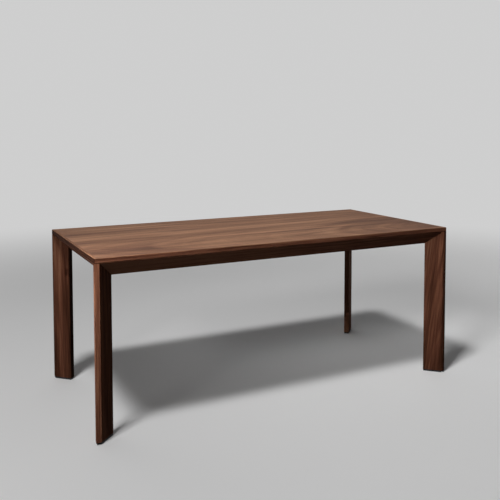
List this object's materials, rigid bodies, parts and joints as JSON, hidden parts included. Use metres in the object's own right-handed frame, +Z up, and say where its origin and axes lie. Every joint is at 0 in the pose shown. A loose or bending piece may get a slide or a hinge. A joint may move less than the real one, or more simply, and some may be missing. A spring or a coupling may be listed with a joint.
{
  "type": "dining table",
  "caption": "Rectangular walnut dining table with diagonal board legs mitred into sloping aprons under a thin veneered top.",
  "frame": {"origin": "on the floor under the middle of the top", "axes": "+X along the table's length, +Y towards its back long side, +Z up"},
  "size_m": [1.8, 0.85, 0.75],
  "materials": {
    "walnut_veneer": "satin oiled walnut veneer, grain along the table",
    "walnut_solid": "satin oiled solid walnut, grain along each piece",
    "panel_core": "bare fibreboard, sealed inside the top",
    "inner_hardwood": "planed beech, clear lacquer",
    "zinc_steel": "bright zinc plate",
    "glide_plastic": "matt black polyethylene"
  },
  "bodies": {
    "root": {"top_veneer": "walnut_veneer", "top_core": "panel_core", "backing_veneer": "walnut_veneer", "lipping_front": "walnut_solid", "lipping_right": "walnut_solid", "lipping_back": "walnut_solid", "lipping_left": "walnut_solid", "apron_front": "walnut_solid", "apron_right": "walnut_solid", "apron_back": "walnut_solid", "apron_left": "walnut_solid", "leg_front_left": "walnut_solid", "leg_front_right": "walnut_solid", "leg_back_right": "walnut_solid", "leg_back_left": "walnut_solid", "corner_block_front_left": "inner_hardwood", "corner_block_front_right": "inner_hardwood", "corner_block_back_right": "inner_hardwood", "corner_block_back_left": "inner_hardwood", "cleat_front": "inner_hardwood", "cleat_right": "inner_hardwood", "cleat_back": "inner_hardwood", "cleat_left": "inner_hardwood", "cross_rail_left": "inner_hardwood", "cross_rail_right": "inner_hardwood", "glide_front_left": "glide_plastic", "glide_front_right": "glide_plastic", "glide_back_right": "glide_plastic", "glide_back_left": "glide_plastic", "hanger_bolts": "zinc_steel", "leg_washers": "zinc_steel", "leg_nuts": "zinc_steel", "cleat_top_screws": "zinc_steel", "cleat_apron_screws": "zinc_steel", "block_screws": "zinc_steel", "rail_screws": "zinc_steel", "glide_screws": "zinc_steel"}
  },
  "joints": []
}
